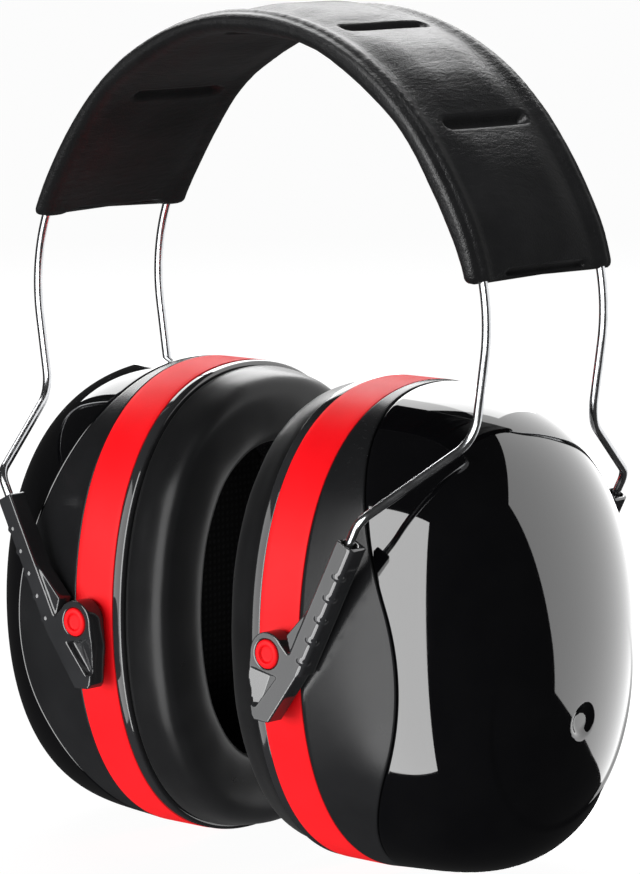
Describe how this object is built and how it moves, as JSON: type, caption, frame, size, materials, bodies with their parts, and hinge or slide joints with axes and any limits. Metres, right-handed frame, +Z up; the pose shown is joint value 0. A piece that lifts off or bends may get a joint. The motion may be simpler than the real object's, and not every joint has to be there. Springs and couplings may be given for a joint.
{
  "type": "earmuff hearing protector",
  "caption": "Over-the-head hearing protector: padded band on twin spring wires, forked sliding arms, deep oval cups with a coloured ring and soft ear cushions.",
  "frame": {"origin": "midway between the ears, on the line through the cup pivots", "axes": "+X from ear to ear towards the right cup, -Y towards the front, +Z up towards the headband's crown"},
  "size_m": [0.16, 0.0976, 0.1921],
  "materials": {
    "red_plastic": "bright glossy red",
    "satin_plastic": "satin black",
    "gloss_plastic": "mirror-gloss black",
    "rim_plastic": "glossy dark grey",
    "arm_plastic": "fine matte charcoal",
    "soft_skin": "soft matte black skin",
    "leatherette": "fine-grained black leatherette",
    "spring_steel": "polished spring steel",
    "grey_foam": "open-cell foam",
    "mesh_cloth": "fine black mesh"
  },
  "bodies": {
    "headband": {"front_wire": "spring_steel", "rear_wire": "spring_steel", "pad_outer_cover": "leatherette", "pad_inner_cover": "leatherette", "pad_foam": "grey_foam"},
    "right_cup": {"right_spacer_ring": "red_plastic", "right_cup_skirt": "satin_plastic", "right_outer_cap": "gloss_plastic", "right_inner_cup": "satin_plastic", "right_liner_foam": "grey_foam", "right_acoustic_mesh": "mesh_cloth", "right_rim_frame": "rim_plastic", "right_cushion_plate": "satin_plastic", "right_cushion_foam": "grey_foam", "right_cushion_cover": "soft_skin", "right_front_stud": "red_plastic", "right_rear_stud": "red_plastic"},
    "right_front_arm": {"right_front_arm": "arm_plastic"},
    "right_rear_arm": {"right_rear_arm": "arm_plastic"},
    "left_cup": {"left_spacer_ring": "red_plastic", "left_cup_skirt": "satin_plastic", "left_outer_cap": "gloss_plastic", "left_inner_cup": "satin_plastic", "left_liner_foam": "grey_foam", "left_acoustic_mesh": "mesh_cloth", "left_rim_frame": "rim_plastic", "left_cushion_plate": "satin_plastic", "left_cushion_foam": "grey_foam", "left_cushion_cover": "soft_skin", "left_front_stud": "red_plastic", "left_rear_stud": "red_plastic"},
    "left_front_arm": {"left_front_arm": "arm_plastic"},
    "left_rear_arm": {"left_rear_arm": "arm_plastic"}
  },
  "joints": [
    {"name": "right_front_arm_slide", "type": "slide", "parent": "headband", "child": "right_front_arm", "axis": [-0.4617, 0, -0.887], "range_m": [0, 0.01]},
    {"name": "right_rear_arm_slide", "type": "slide", "parent": "headband", "child": "right_rear_arm", "axis": [-0.4617, 0, -0.887], "range_m": [0, 0.01]},
    {"name": "right_cup_swivel", "type": "hinge", "parent": "right_front_arm", "child": "right_cup", "pos_m": [0.0292, 0, 0], "axis": [0, 1, 0], "range_deg": [-5, 5]},
    {"name": "left_front_arm_slide", "type": "slide", "parent": "headband", "child": "left_front_arm", "axis": [0.4617, 0, -0.887], "range_m": [0, 0.01]},
    {"name": "left_rear_arm_slide", "type": "slide", "parent": "headband", "child": "left_rear_arm", "axis": [0.4617, 0, -0.887], "range_m": [0, 0.01]},
    {"name": "left_cup_swivel", "type": "hinge", "parent": "left_front_arm", "child": "left_cup", "pos_m": [-0.0292, 0, 0], "axis": [0, 1, 0], "range_deg": [-5, 5]}
  ],
  "couplings": [
    {"joint": "right_rear_arm_slide", "follows": "right_front_arm_slide", "ratio": 1},
    {"joint": "left_rear_arm_slide", "follows": "left_front_arm_slide", "ratio": 1}
  ]
}
